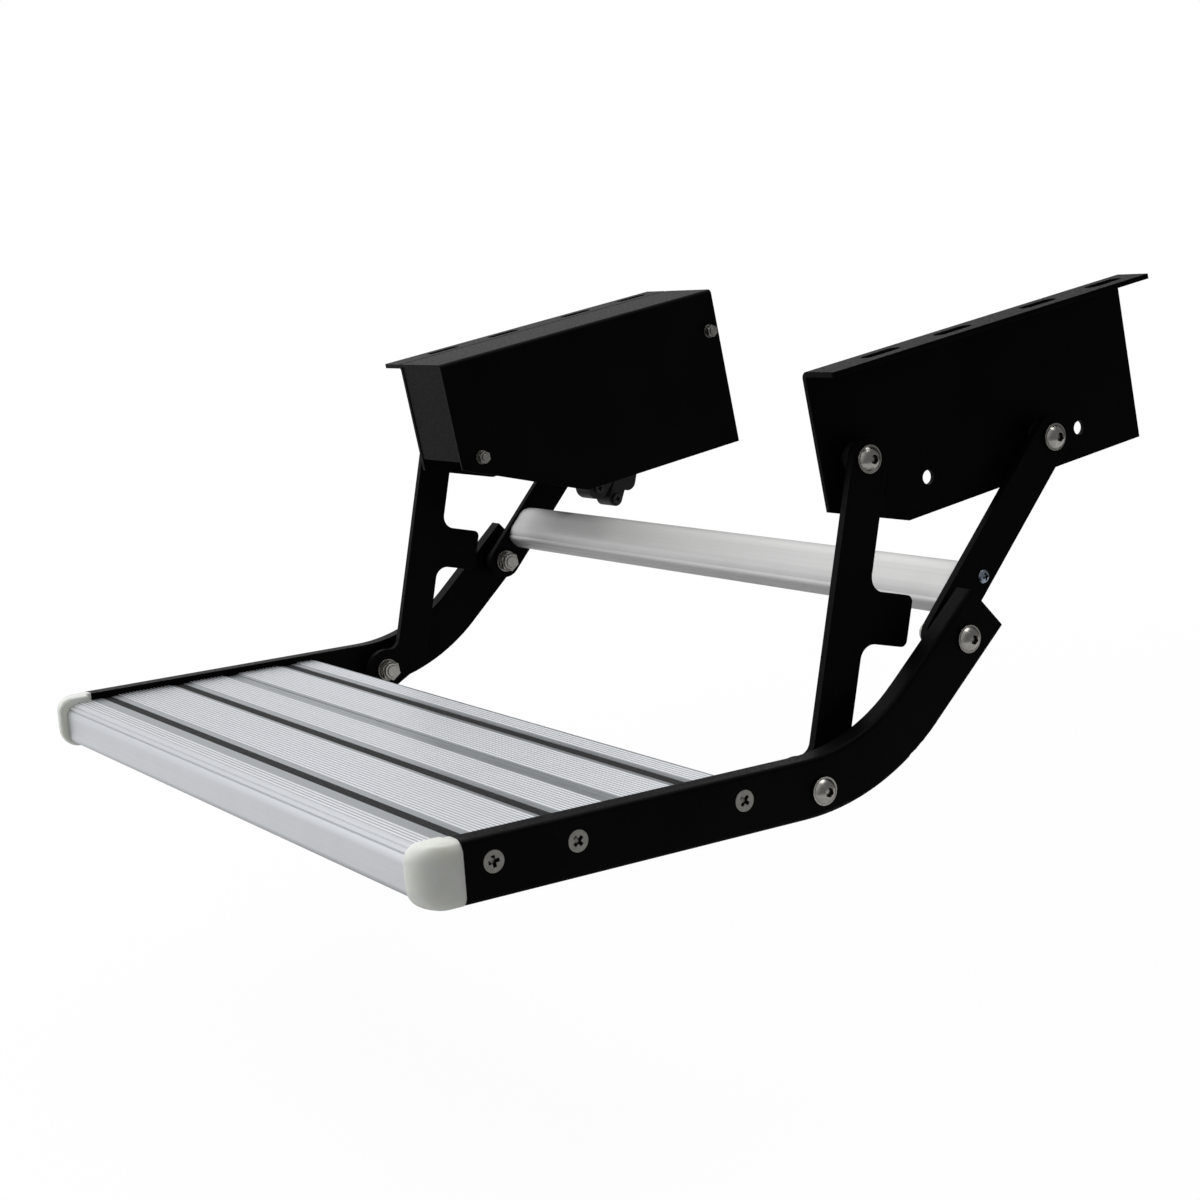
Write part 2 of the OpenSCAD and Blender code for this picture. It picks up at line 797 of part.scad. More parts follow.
module arm() {
  in_tread() difference() {
    union() {
      translate([0, 0, -arm_height]) along_y(0, arm_straight) arm_section(0);
      translate([0, arm_straight, arm_bend_r - arm_height]) rotate([0, 90, 0])
        rotate_extrude(angle = arm_bend, $fn = 180) translate([arm_bend_r - arm_height, 0]) arm_section(0);
      // the tail is a hair slimmer, so its faces never lie in those of the bend
      translate([0, tail_y, tail_z]) rotate([arm_bend, 0, 0]) along_y(-0.5, arm_tail) arm_section(0.04);
    }
    pin(arm_x0 - 5, arm_x1 + 5, tc, bolt_r + 0.05);
    pin(arm_x0 - 5, arm_x1 + 5, td, bolt_r + 0.05);
    for (y = screw_y) {
      pin(arm_x0 - 5, arm_x1 + 5, [y, screw_z], 3.1);
      translate([arm_x1 - 3.2, y, screw_z]) rotate([0, 90, 0]) cylinder(h = 3.4, r1 = 3, r2 = 6.4);
    }
  }
}

module arm_right() {
  color([0.05, 0.05, 0.06]) arm();
}

module arm_left() {
  color([0.05, 0.05, 0.06]) left_side() arm();
}

module arm_screws() {
  color([0.62, 0.62, 0.6]) both_sides() in_tread() for (i = [0:2]) {
    difference() {
      union() {
        pin(deck_x - 16, arm_x1 - 3, [screw_y[i], screw_z], 3);
        translate([arm_x1 - 3.1, screw_y[i], screw_z]) rotate([0, 90, 0]) cylinder(h = 3, r1 = 3, r2 = 6);
      }
      turned_recess(arm_x1 - 0.1, [screw_y[i], screw_z], 6.4, 2, screw_turn[i]);
    }
  }
}

// ribs with sloping flanks on the deck, from y0 on, as many as start before y1
module ribs(y0, y1) {
  count = floor((y1 - y0) / rib_pitch);
  wide = rib_pitch * 0.6;
  narrow = rib_pitch * 0.28;
  for (i = [0:count]) {
    translate([y0 + i * rib_pitch + wide / 2, 0]) polygon([
      [-wide / 2, deck_top - 0.3],
      [wide / 2, deck_top - 0.3],
      [wide / 2, deck_top],
      [narrow / 2, rib_top],
      [-narrow / 2, rib_top],
      [-wide / 2, deck_top]
    ]);
  }
}

// half grooves for the grip strips
module groove(y) {
  rect(y - groove_w / 2, y + groove_w / 2, deck_top - groove_d, deck_top + 3);
}

module screw_hole(y) {
  translate([y, screw_z]) circle(r = 3.05);
}

module nosing_outline() {
  difference() {
    union() {
      rect(nose_c[0], -1, nose_bottom + 5, deck_top);
      rect(nose_front, -1, nose_bottom + 5, nose_c[1]);
      rect(nose_front + 5, -1, nose_bottom, nose_c[1]);
      rect(-3, joint_1 - 0.1, deck_bottom, deck_top);
      translate(nose_c) circle(r = nose_r);
      translate([nose_front + 5, nose_bottom + 5]) circle(r = 5);
      // bead along the rounded edge
      translate(nose_c + (nose_r - 1.6) * [cos(131), sin(131)]) circle(r = 1.9);
      ribs(nose_front + 9.1, nose_front + 17.6);
    }
    groove(joint_1);
    // a fine groove on each side of the bead
    for (a = [119.5, 142.5]) translate(nose_c + nose_r * [cos(a), sin(a)]) circle(r = 0.6, $fn = 24);
    translate(nose_c) circle(r = nose_r - nose_wall);
    rect(nose_c[0], -3.2, nose_bottom + 6, deck_top - nose_wall);
    rect(nose_front + nose_wall, -3.2, nose_bottom + 6, nose_c[1]);
    rect(nose_front + 6, -3.2, nose_bottom + nose_wall, nose_c[1]);
    rect(-1.2, joint_1 - 5.6, deck_bottom + 2.2, deck_top - 2.4);
    rect(joint_1 - 3.3, joint_1, deck_bottom + 4.8, deck_bottom + tongue_top);
  }
}

// the nosing's front part ends short of the side arms, there the end caps wrap round it
cap_width = 5;
cap_back = -3.6;

module tread_nosing() {
  color([0.75, 0.76, 0.79]) in_tread() difference() {
    along_x(-deck_x, deck_x) nosing_outline();
    both_sides() box(deck_x - cap_width, deck_x + 1, cap_front - 1, cap_back, cap_bottom - 1, cap_top + 1);
  }
}

module plank_front() {
  color([0.76, 0.77, 0.78]) in_tread() along_x(-deck_x, deck_x) difference() {
    union() {
      difference() {
        rect(joint_1 + 0.1, joint_2 - 0.1, deck_bottom, deck_top);
        rect(24.5, 42, deck_bottom + 2, deck_top - 2);
        rect(44, 57.5, deck_bottom + 2, deck_top - 4.6);
        rect(74, 86, deck_bottom + 2, deck_top - 2);
        rect(88, 97, deck_bottom + 2, deck_top - 2);
      }
      ribs(19, 56.5);
      ribs(72.4, 98.2);
      rect(joint_1 - 2.8, joint_1 + 1, deck_bottom + 5, deck_bottom + 8);
    }
    groove(joint_1);
    groove(groove_y[1]);
    rect(joint_2 - 4, joint_2 + 4, deck_top - 0.6, deck_top + 2);
    rect(joint_2 - 3.3, joint_2, deck_bottom + 4.8, deck_bottom + tongue_top);
    screw_hole(screw_y[0]);
    screw_hole(screw_y[1]);
  }
}

module plank_rear() {
  back = deck_rear + 7.5;
  color([0.76, 0.77, 0.78]) in_tread() along_x(-deck_x, deck_x) difference() {
    union() {
      difference() {
        union() {
          rect(joint_2 + 0.1, deck_rear, deck_bottom, deck_top);
          rect(deck_rear - 1, back, deck_bottom + 7.5, deck_top - 7.5);
          translate([back - 7.5, deck_top - 7.5]) circle(r = 7.5);
          translate([back - 7.5, deck_bottom + 7.5]) circle(r = 7.5);
        }
        rect(110, 124, deck_bottom + 2, deck_top - 2);
        rect(126, 139.5, deck_bottom + 2, deck_top - 2);
        rect(141.5, 153.5, deck_bottom + 2, deck_top - 4.6);
        rect(155.5, 161.5, deck_bottom + 2, deck_top - 2);
      }
      ribs(110, 139);
      ribs(155.5, 166.8);
      rect(joint_2 - 2.8, joint_2 + 1, deck_bottom + 5, deck_bottom + 8);
    }
    groove(groove_y[2]);
    rect(joint_2 - 4, joint_2 + 4, deck_top - 0.6, deck_top + 2);
    screw_hole(screw_y[2]);
  }
}

module grip_strips() {
  color([0.08, 0.08, 0.08]) in_tread() along_x(-deck_x, deck_x) for (y = groove_y) {
    rect(y - groove_w / 2 + 0.1, y + groove_w / 2 - 0.1, deck_top - groove_d + 0.05, deck_top - 0.7);
    for (i = [-2:2]) rect(y + i * 1.3 - 0.35, y + i * 1.3 + 0.35, deck_top - 1, deck_top - 0.3);
  }
}

// milky nosing cap on the right end, rounded at its outer front corner
cap_in = deck_x - cap_width + seat;
cap_out = arm_x1 + 0.3;
cap_front = -25;
cap_top = 0.3;
cap_bottom = -34.2;
cap_r = 15.2;
cap_edge = 7.5;

// section of the cap edge, first number outwards, second up
module cap_section(depth) {
  rect(0, depth - cap_edge, cap_bottom, cap_top);
  rect(0, depth, cap_bottom + cap_edge, cap_top - cap_edge);
  translate([depth - cap_edge, cap_top - cap_edge]) circle(r = cap_edge);
  translate([depth - cap_edge, cap_bottom + cap_edge]) circle(r = cap_edge);
}

module end_cap() {
  in_tread() difference() {
    union() {
      translate([cap_out - cap_r, cap_front + cap_r, 0]) {
        rotate([0, 0, -90]) rotate_extrude(angle = 90) cap_section(cap_r);
        rotate([90, 0, 0]) translate([0, 0, -(-cap_front - cap_r) + 0.1])
          linear_extrude(-cap_front - cap_r - 0.1) cap_section(cap_r);
      }
      translate([cap_in, cap_front + cap_r, 0]) rotate([90, 0, 90]) linear_extrude(cap_out - cap_r - cap_in)
        mirror([1, 0]) cap_section(cap_r);
      box(cap_in, cap_out - cap_r + 0.01, cap_front + cap_r - 0.01, -0.1, cap_bottom, cap_top);
      // plug inside the hollow nosing
      box(cap_in - 10, cap_in + 1, nose_front + nose_wall + seat, -3.2 - seat,
        nose_bottom + 6 + seat, nose_c[1] - seat);
    }
    // step for the full width part of the nosing
    box(cap_in - 1, arm_x0, cap_back - seat, 1, cap_bottom - 1, cap_top + 1);
    // the cap is a shell, open towards the arm
    box(cap_in + 3, cap_out - 6, cap_front + 8, 1, cap_bottom + 5, cap_top - 5);
  }
}

module end_cap_right() {
  color([0.84, 0.86, 0.8]) end_cap();
}

module end_cap_left() {
  color([0.84, 0.86, 0.8]) left_side() end_cap();
}

bracket_left();
bracket_right();
drive_cover();
cover_studs();
cover_nuts();
gear_case();
gear_lid();
gear_lid_screws();
gear_mount_bolts();
shaft_bearing();
motor_can();
motor_magnets();
motor_end_cap();
terminal_block();
terminal_blades();
motor_rotor();
worm_shaft();
drive_shaft();
worm_wheel();
drive_shaft_bolt();
front_pivot_bolts();
front_pivot_nuts();
front_pivot_spacers();
rear_pivot_bolt();
rear_pivot_nut();
rear_pivot_spacer();
rear_link_left();
rear_link_right();
crossbar();
crossbar_screws();
front_link_left();
front_link_right();
front_eye_nuts();
front_eye_spacers();
front_eye_bolts();
rear_eye_bolts();
rear_eye_nuts();
rear_eye_spacers();
arm_left();
arm_right();
arm_screws();
tread_nosing();
plank_front();
plank_rear();
grip_strips();
end_cap_left();
end_cap_right();
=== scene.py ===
import json
import math

import bmesh
import bpy
from mathutils import Matrix, Vector


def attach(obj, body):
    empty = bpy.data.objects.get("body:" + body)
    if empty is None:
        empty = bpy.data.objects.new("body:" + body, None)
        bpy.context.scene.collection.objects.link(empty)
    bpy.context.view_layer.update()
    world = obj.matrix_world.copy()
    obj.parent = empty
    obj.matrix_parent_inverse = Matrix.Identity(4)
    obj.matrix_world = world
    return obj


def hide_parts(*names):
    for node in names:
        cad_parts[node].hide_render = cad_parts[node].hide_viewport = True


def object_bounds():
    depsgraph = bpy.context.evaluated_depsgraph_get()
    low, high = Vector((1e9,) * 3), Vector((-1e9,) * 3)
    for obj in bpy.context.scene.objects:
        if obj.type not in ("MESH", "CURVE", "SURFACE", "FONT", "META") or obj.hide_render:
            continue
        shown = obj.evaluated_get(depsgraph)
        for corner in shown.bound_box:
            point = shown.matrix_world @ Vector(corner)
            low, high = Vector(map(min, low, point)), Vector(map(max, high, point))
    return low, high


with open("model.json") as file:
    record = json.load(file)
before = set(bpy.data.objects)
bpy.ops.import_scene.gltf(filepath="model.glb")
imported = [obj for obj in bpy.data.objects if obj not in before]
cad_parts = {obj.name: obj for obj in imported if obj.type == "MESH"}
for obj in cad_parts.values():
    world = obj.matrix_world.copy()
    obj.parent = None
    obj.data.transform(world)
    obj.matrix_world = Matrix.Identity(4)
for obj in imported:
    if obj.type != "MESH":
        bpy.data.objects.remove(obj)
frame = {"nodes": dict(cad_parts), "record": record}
cad_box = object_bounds()

MM = 0.001

# camera of the photograph, in the part's frame: places in metres, lens in millimetres
CAMERA_PLACE = Vector((1.1956, -0.8381, 0.1867))
CAMERA_RIGHT = Vector((0.53283, 0.82257, -0.19857))
CAMERA_UP = Vector((-0.09865, 0.29343, 0.95085))
CAMERA_LENS = 65.55
CAMERA_SENSOR = 36.0
CAMERA_REACH = 50

# floor, in metres, with its gap under the part and its colours for the camera and for other rays
FLOOR_GAP = 0.16
FLOOR_RADIUS = 12
FLOOR_SIDES = 96
FLOOR_PALE = (0.95, 0.95, 0.95)
FLOOR_BOUNCE = (0.6, 0.6, 0.6)

# the camera sees this share of pure white in it up to WHITE_NEAR, and only white from WHITE_FAR on
WHITE_SHARE = 0.965
WHITE_NEAR = 0.35
WHITE_FAR = 0.8

# between these distances it lets more and more of the other rays through
OPEN_NEAR = 0.7
OPEN_FAR = 1.1

# studio's light: it grows stronger towards the bright side, from DIM_FROM to BRIGHT_FROM of the way
ROOM_COLOUR = (0.97, 0.98, 1.0)
BRIGHT_SIDE = Vector((-0.85, -0.35, 0.45))
DIM_FROM = -0.2
BRIGHT_FROM = 0.9
DIM_STRENGTH = 0.15
BRIGHT_STRENGTH = 0.86

# lamps, in metres and watts, both aimed near the part's middle
LAMP_TARGET = Vector((0, -0.1, -0.1))
TOP_PLACE = Vector((-0.2, 0.2, 2.0))
TOP_SIZE = (2.2, 1.6)
TOP_POWER = 26
FRONT_PLACE = Vector((-1.2, -2.2, 1.0))
FRONT_SIZE = (1.6, 1.2)
FRONT_POWER = 5.5

# colours of the finishes, and the stretch of the die lines on drawn metal
POWDER_DARK = (0.0028, 0.0025, 0.0026)
POWDER_PALE = (0.0046, 0.0041, 0.0040)
POWDER_SHEEN = (1.0, 0.96, 0.93, 1)
TUBE_TINT = (0.67, 0.665, 0.655)
DECK_TINT = (0.84, 0.85, 0.875)
# tint of the painted shade on the deck, between its ribs, on its nosing and in its grooves
DECK_SHADE_TINT = (0.42, 0.44, 0.45)
DIE_STRETCH = (0.002, 1, 1)
CAP_DARK = (0.91, 0.93, 0.83)
CAP_PALE = (0.96, 0.98, 0.90)
CAP_SCATTER = (1.0, 1.0, 0.85)

# painted shade darkens hollows up to the reach below, in millimetres wide, by how much of the light
# reaches them
HOLLOW_SHADE = (0.008, 0.007, 0.006)
SHADE_REACH = 2.4
SHADE_FULL = 0.5
SHADE_NONE = 0.86

# metal of fasteners and shafts: tint and roughness
METALS = {
    "stainless_fasteners": ((0.62, 0.60, 0.55), 0.24),
    "grey_screws": ((0.42, 0.41, 0.37), 0.34),
    "zinc_screws": ((0.50, 0.58, 0.68), 0.28),
    "dark_screws": ((0.07, 0.07, 0.075), 0.35),
    "brass": ((0.72, 0.56, 0.27), 0.3),
    "steel_shaft": ((0.5, 0.5, 0.5), 0.25),
}

# moulded, cast and wound pieces: tint, roughness and metallic share; their grain is in millimetres
GRAINED = {
    "black_strip": ((0.007, 0.007, 0.008), 0.65, 0.0),
    "black_spacer": ((0.012, 0.012, 0.012), 0.5, 0.0),
    "gear_housing": ((0.02, 0.02, 0.022), 0.5, 0.3),
    "motor_black": ((0.012, 0.012, 0.013), 0.35, 0.0),
    "magnet": ((0.10, 0.095, 0.09), 0.6, 0.0),
    "terminal_plastic": ((0.6, 0.6, 0.55), 0.45, 0.0),
    "rotor": ((0.35, 0.17, 0.07), 0.45, 0.5),
    "wheel_plastic": ((0.72, 0.69, 0.57), 0.45, 0.0),
}
GRAIN = 1.5
GRAIN_HEIGHT = 0.015
GRAIN_EDGE = 0.4

# the tread's own frame, Y and Z in millimetres: it tilts about the rear eye
TREAD_PITCH = math.radians(8.6)
TREAD_COS = math.cos(TREAD_PITCH)
TREAD_SIN = math.sin(TREAD_PITCH)
REAR_EYE = (-75.46, -167.08)
EYE_IN_TREAD = (329.73, 48.11)

# deck in the tread's frame, in millimetres: painted shade darkens it between its ribs, up to the first
# height below above the level there, and darkens the nosing ahead of the ribs in part, and its rounded
# front fully where it lies deeper than the groove depth below under its radius
DECK_LEVEL = -4.9
RIB_SHADE_TO = 0.45
RIB_LIT_FROM = 0.8
NOSE_RIBS = -11.1
NOSE_EDGE = 0.3
NOSE_RADIUS = 8.0
NOSE_SHADE = 0.32
NOSE_AXIS = (-12.0, DECK_LEVEL - NOSE_RADIUS)
GROOVE_SHADE_FROM = 0.45
GROOVE_LIT_TO = 0.15

# right end cap in the tread's frame, in millimetres and degrees
CAP_INNER = 257.3
CAP_OUTER = 275.3
CAP_FRONT = -25.0
CAP_BACK = -0.1
CAP_STEP = 262.3
CAP_STEP_BACK = -3.8
CAP_TOP = 0.3
CAP_BOTTOM = -34.2
CAP_PLAN_R = 15.0
CAP_RIM_R = 6.5
CAP_LIP_R = 2.2
CAP_LIP_DEPTH = 0.8
CAP_TOP_R = 9.5
CAP_BOTTOM_R = 13.0
CAP_FLATTEN = 0.9
CAP_ARC_STEPS = 14
CAP_SHARP = 40


def make_camera():
    data = bpy.data.cameras.new("camera")
    data.lens = CAMERA_LENS
    data.sensor_width = CAMERA_SENSOR
    data.clip_end = CAMERA_REACH
    camera = bpy.data.objects.new("camera", data)
    bpy.context.scene.collection.objects.link(camera)
    right = CAMERA_RIGHT.normalized()
    back = right.cross(CAMERA_UP).normalized()
    up = back.cross(right)
    turn = Matrix((right, up, back)).transposed().to_4x4()
    camera.matrix_world = Matrix.Translation(CAMERA_PLACE) @ turn
    bpy.context.scene.camera = camera


class Nodes:
    """A node tree with short calls for the nodes used here."""

    def __init__(self, tree):
        self.tree = tree
        self.tree.nodes.clear()

    def link(self, output, place):
        self.tree.links.new(output, place)

    def node(self, kind, **values):
        made = self.tree.nodes.new(kind)
        for key, value in values.items():
            setattr(made, key, value)
        return made

    def combine(self, operation, first, second):
        """Sum, product or larger of two outputs."""
        made = self.node("ShaderNodeMath", operation=operation)
        self.link(first, made.inputs[0])
        self.link(second, made.inputs[1])
        return made.outputs[0]

    def place(self, stretch=(1, 1, 1)):
        """Object coordinates in millimetres, stretched along the axes."""
        source = self.node("ShaderNodeTexCoord")
        mapping = self.node("ShaderNodeMapping")
        mapping.inputs["Scale"].default_value = [s / MM for s in stretch]
        self.link(source.outputs["Object"], mapping.inputs["Vector"])
        return mapping.outputs["Vector"]

    def along(self, direction, offset):
        """Distance in millimetres along a direction of the tread, where the rear eye lies at offset."""
        dot = self.node("ShaderNodeVectorMath", operation="DOT_PRODUCT")
        self.link(self.place(), dot.inputs[0])
        dot.inputs[1].default_value = direction
        made = self.node("ShaderNodeMath", operation="ADD")
        self.link(dot.outputs["Value"], made.inputs[0])
        eye = direction[1] * REAR_EYE[0] + direction[2] * REAR_EYE[1]
        made.inputs[1].default_value = offset - eye
        return made.outputs[0]

    def noise(self, grain, stretch=(1, 1, 1), detail=2.0, roughness=0.5):
        """Noise whose features are about grain millimetres wide."""
        made = self.node("ShaderNodeTexNoise")
        made.inputs["Scale"].default_value = 1 / grain
        made.inputs["Detail"].default_value = detail
        made.inputs["Roughness"].default_value = roughness
        self.link(self.place(stretch), made.inputs["Vector"])
        return made.outputs["Fac"]

    def spread(self, value, low, high, start=0.35, end=0.65, shape="LINEAR"):
        """Goes from low to high as the value goes from start to end."""
        made = self.node("ShaderNodeMapRange", interpolation_type=shape)
        made.inputs["From Min"].default_value = start
        made.inputs["From Max"].default_value = end
        made.inputs["To Min"].default_value = low
        made.inputs["To Max"].default_value = high
        self.link(value, made.inputs["Value"])
        return made.outputs["Result"]

    def blend(self, value, first, second, start=0.35, end=0.65):
        """Colour that goes from first to second as the value goes from start to end."""
        made = self.node("ShaderNodeMix", data_type="RGBA")
        made.inputs["A"].default_value = (*first, 1)
        made.inputs["B"].default_value = (*second, 1)
        self.link(self.spread(value, 0, 1, start, end), made.inputs["Factor"])
        return made.outputs["Result"]

    def tinted(self, colour, tint, share):
        """The colour, replaced by the tint to a share from 0 to 1."""
        made = self.node("ShaderNodeMix", data_type="RGBA")
        self.link(share, made.inputs["Factor"])
        self.link(colour, made.inputs["A"])
        made.inputs["B"].default_value = (*tint, 1)
        return made.outputs["Result"]

    def shaded_hollows(self, colour):
        """The colour with painted shade in sockets, grooves and corners, darker where less of the light
        reaches.
        """
        # painted shade: the colour darkens where ambient occlusion finds little light reaching
        hollow = self.node("ShaderNodeAmbientOcclusion", samples=16)
        hollow.inputs["Distance"].default_value = SHADE_REACH * MM
        return self.tinted(colour, HOLLOW_SHADE, self.spread(hollow.outputs["AO"], 1, 0, SHADE_FULL, SHADE_NONE))

    def bump(self, value, height, normal=None, strength=1.0):
        """Bump of the given height in millimetres, on top of another normal if there is one."""
        made = self.node("ShaderNodeBump")
        made.inputs["Strength"].default_value = strength
        made.inputs["Distance"].default_value = height * MM
        self.link(value, made.inputs["Height"])
        if normal is not None:
            self.link(normal, made.inputs["Normal"])
        return made.outputs["Normal"]

    def round_edges(self, radius):
        """Shading of small edge rounds, radius in millimetres."""
        made = self.node("ShaderNodeBevel", samples=6)
        made.inputs["Radius"].default_value = radius * MM
        return made.outputs["Normal"]

    def mix_shaders(self, share, first, second):
        """Shader that goes from first to second as the share goes from 0 to 1."""
        made = self.node("ShaderNodeMixShader")
        self.link(share, made.inputs["Fac"])
        self.link(first, made.inputs[1])
        self.link(second, made.inputs[2])
        return made.outputs[0]


class Shader(Nodes):
    """A material with one principled surface."""

    def __init__(self, name):
        self.material = bpy.data.materials.new(name)
        self.material.use_nodes = True
        super().__init__(self.material.node_tree)
        self.out = self.node("ShaderNodeOutputMaterial")
        self.body = self.node("ShaderNodeBsdfPrincipled")
        self.link(self.body.outputs[0], self.out.inputs["Surface"])

    def set(self, **values):
        """Uniform values of the surface, by socket name with _ for a space."""
        for key, value in values.items():
            self.body.inputs[key.replace("_", " ")].default_value = value

    def feed(self, **outputs):
        """Values that vary over the surface, by socket name with _ for a space."""
        for key, output in outputs.items():
            self.link(output, self.body.inputs[key.replace("_", " ")])


def darker(tint, share):
    return tuple(share * c for c in tint)


def powder_coat():
    """Black coat with a fine orange peel."""
    s = Shader("black_powder_coat")
    s.set(IOR=1.3, Specular_IOR_Level=0.1, Specular_Tint=POWDER_SHEEN)
    s.feed(Base_Color=s.blend(s.noise(grain=60, detail=3), POWDER_DARK, POWDER_PALE))
    s.feed(Roughness=s.spread(s.noise(grain=2.2, detail=4), low=0.36, high=0.5))
    edges = s.round_edges(radius=0.7)
    peel = s.bump(s.noise(grain=1.6, detail=3, roughness=0.6), height=0.05, normal=edges, strength=0.6)
    s.feed(Normal=s.bump(s.noise(grain=0.45, detail=2), height=0.012, normal=peel, strength=0.5))
    return s.material


def fastener_metal(name, tint, rough):
    """Metal with fine scuffs, and painted shade in its sockets."""
    s = Shader(name)
    s.set(Metallic=1.0)
    s.feed(Base_Color=s.shaded_hollows(s.blend(s.noise(grain=3.0, detail=4), darker(tint, 0.86), tint)))
    s.feed(Roughness=s.spread(s.noise(grain=0.8, detail=3), low=rough - 0.05, high=rough + 0.08))
    edges = s.round_edges(radius=0.35)
    s.feed(Normal=s.bump(s.noise(grain=0.5), height=0.006, normal=edges, strength=0.6))
    return s.material


def deck_shade_mask(s):
    """Share of painted shade on the deck: 1 between the ribs and in the nosing's two grooves, 0 on the
    ribs.
    """
    height = s.along((0.0, TREAD_SIN, TREAD_COS), EYE_IN_TREAD[1] - DECK_LEVEL)
    size = s.node("ShaderNodeMath", operation="ABSOLUTE")
    s.link(height, size.inputs[0])
    low = s.spread(size.outputs[0], 1, 0, start=RIB_SHADE_TO, end=RIB_LIT_FROM)
    back = s.along((0.0, TREAD_COS, -TREAD_SIN), EYE_IN_TREAD[0] - NOSE_RIBS)
    between_ribs = s.combine("MULTIPLY", low, s.spread(back, 0, 1, start=0, end=NOSE_EDGE))
    deck = s.combine("ADD", between_ribs, s.spread(back, NOSE_SHADE, 0, start=0, end=NOSE_EDGE))
    from_axis = s.node("ShaderNodeVectorMath", operation="DISTANCE")
    s.link(s.place((0, 1, 1)), from_axis.inputs[0])
    from_axis.inputs[1].default_value = tread_point(0, *NOSE_AXIS) / MM
    deep = NOSE_RADIUS - GROOVE_SHADE_FROM
    shallow = NOSE_RADIUS - GROOVE_LIT_TO
    groove = s.spread(from_axis.outputs["Value"], 1, 0, start=deep, end=shallow)
    return s.combine("MAXIMUM", deck, groove)


def drawn_aluminium(name, tint, rough, streak, edge=None, shade_tint=None):
    """Anodised profile with fine die lines along X, and where asked for painted shade between the deck's
    ribs, on its nosing and in its grooves.
    """
    s = Shader(name)
    s.set(Metallic=1.0)
    lines = s.noise(grain=streak, stretch=DIE_STRETCH, detail=3, roughness=0.6)
    colour = s.blend(lines, darker(tint, 0.95), tint)
    # painted shade: the deck darkens towards the given tint between its ribs, on its nosing and in its
    # grooves
    if shade_tint is not None:
        colour = s.tinted(colour, shade_tint, deck_shade_mask(s))
    s.feed(Base_Color=colour)
    s.feed(Roughness=s.spread(s.noise(grain=30, detail=2), low=rough - 0.02, high=rough + 0.03))
    edges = s.round_edges(radius=edge) if edge else None
    s.feed(Normal=s.bump(lines, height=0.003, normal=edges, strength=0.3))
    return s.material


def milky_plastic():
    """Translucent moulded plastic."""
    s = Shader("milky_cap")
    s.set(Roughness=0.13, Specular_IOR_Level=0.45)
    s.set(Subsurface_Weight=0.35, Subsurface_Scale=0.006, Subsurface_Radius=CAP_SCATTER)
    s.feed(Base_Color=s.blend(s.noise(grain=14, detail=3), CAP_DARK, CAP_PALE))
    edges = s.round_edges(radius=0.4)
    s.feed(Normal=s.bump(s.noise(grain=0.9, detail=3), height=0.01, normal=edges, strength=0.4))
    return s.material


def grained(name, tint, rough, metallic):
    """Moulded, cast or coated surface with a fine grain."""
    s = Shader(name)
    s.set(Metallic=metallic)
    s.feed(Base_Color=s.blend(s.noise(grain=8 * GRAIN, detail=3), darker(tint, 0.85), tint))
    s.feed(Roughness=s.spread(s.noise(grain=GRAIN, detail=3), low=rough - 0.05, high=rough + 0.06))
    edges = s.round_edges(radius=GRAIN_EDGE)
    fine = s.noise(grain=GRAIN / 2, detail=2)
    s.feed(Normal=s.bump(fine, height=GRAIN_HEIGHT, normal=edges, strength=0.6))
    return s.material


def make_materials():
    """Every finish, by the material slot that it belongs to."""
    made = {
        "black_powder_coat": powder_coat(),
        "satin_tube": drawn_aluminium("satin_tube", TUBE_TINT, rough=0.6, streak=1.4, edge=0.3),
        "silver_deck": drawn_aluminium(
            "silver_deck", DECK_TINT, rough=0.42, streak=1.2, shade_tint=DECK_SHADE_TINT
        ),
        "milky_cap": milky_plastic(),
    }
    for name, (tint, rough) in METALS.items():
        made[name] = fastener_metal(name, tint, rough)
    for name, (tint, rough, metallic) in GRAINED.items():
        made[name] = grained(name, tint, rough, metallic)
    return made


def dress_nodes(materials):
    for part in frame["record"]["subparts"]:
        data = frame["nodes"][part["node"]].data
        data.materials.clear()
        data.materials.append(materials[part["material_slot"]])


def make_floor():
    """Pale floor that turns to pure white away from the object."""
    low = cad_box[0][2] - FLOOR_GAP
    bpy.ops.mesh.primitive_circle_add(
        vertices=FLOOR_SIDES, radius=FLOOR_RADIUS, fill_type="NGON", location=(0, 0, low)
    )
    floor = bpy.context.object
    floor.name = "floor"
    s = Shader("floor")
    s.set(Roughness=0.9, Specular_IOR_Level=0.0)
    seen = s.node("ShaderNodeLightPath").outputs["Is Camera Ray"]
    s.feed(Base_Color=s.blend(seen, FLOOR_BOUNCE, FLOOR_PALE, start=0, end=1))
    white = s.node("ShaderNodeEmission").outputs[0]
    clear = s.node("ShaderNodeBsdfTransparent").outputs[0]
    length = s.node("ShaderNodeVectorMath", operation="LENGTH")
    s.link(s.node("ShaderNodeTexCoord").outputs["Object"], length.inputs[0])
    distance = length.outputs["Value"]
    whiteness = s.spread(distance, WHITE_SHARE, 1, start=WHITE_NEAR, end=WHITE_FAR)
    surface = s.mix_shaders(s.combine("MULTIPLY", whiteness, seen), s.body.outputs[0], white)
    # other rays pass through the floor far away, so the studio's side shows in the metal
    unseen = s.spread(seen, 1, 0, start=0, end=1)
    openness = s.spread(distance, 0, 1, start=OPEN_NEAR, end=OPEN_FAR)
    surface = s.mix_shaders(s.combine("MULTIPLY", openness, unseen), surface, clear)
    s.link(surface, s.out.inputs["Surface"])
    floor.data.materials.append(s.material)


